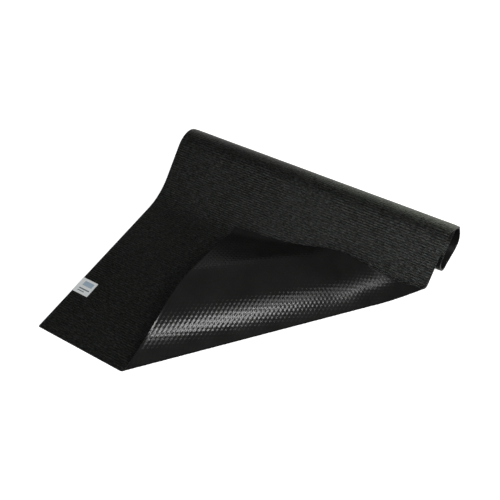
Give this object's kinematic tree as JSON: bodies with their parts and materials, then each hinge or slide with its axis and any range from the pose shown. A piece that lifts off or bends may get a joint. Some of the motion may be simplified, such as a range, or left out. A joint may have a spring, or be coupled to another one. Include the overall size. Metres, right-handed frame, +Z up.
{
  "type": "seedling heat mat",
  "caption": "Felt-faced propagation heat mat, part unrolled, with its front corner folded back to show the embossed film underside.",
  "frame": {"origin": "centre of the overall box, on the floor plane under the flat part of the mat", "axes": "+X along the roll, from the labelled side edge to the folded side; +Y from the front edge to the roll; +Z up"},
  "size_m": [0.533, 0.499, 0.0844],
  "materials": {
    "base_film": "glossy, embossed with small round bumps",
    "insulation_foam": "matt closed-cell foam",
    "element_base_film": "clear polyester film",
    "carbon_layer": "printed carbon, matt",
    "busbar": "bare copper foil",
    "element_cover_film": "clear polyester film",
    "heat_spreader_foil": "bright rolled foil",
    "edge_seal": "matt weld bead",
    "felt_cover": "needled felt with fine cross ribs",
    "edge_label": "satin print label",
    "bond_pad": "foam tape",
    "terminal_base": "fine spark texture",
    "terminal_cover": "fine spark texture",
    "terminal_screw": "zinc plated",
    "inlet_grommet": "moulded rubber",
    "contact_pin": "tinned brass",
    "thermal_fuse": "drawn can",
    "lead_wire": "silicone insulation",
    "return_wire": "silicone insulation",
    "splice_cap": "clear nylon"
  },
  "bodies": {
    "root": {"felt_cover": "felt_cover", "base_film": "base_film", "edge_seal": "edge_seal", "insulation_foam": "insulation_foam", "element_base_film": "element_base_film", "carbon_layer": "carbon_layer", "busbar_left": "busbar", "busbar_right": "busbar", "return_strip": "busbar", "element_cover_film": "element_cover_film", "heat_spreader_foil": "heat_spreader_foil", "edge_label": "edge_label", "bond_pad": "bond_pad", "terminal_base": "terminal_base", "terminal_cover": "terminal_cover", "terminal_screw": "terminal_screw", "inlet_grommet": "inlet_grommet", "contact_pin": "contact_pin", "thermal_fuse": "thermal_fuse", "fuse_lead": "lead_wire", "line_lead": "lead_wire", "return_wire": "return_wire", "splice_cap": "splice_cap"}
  },
  "joints": []
}
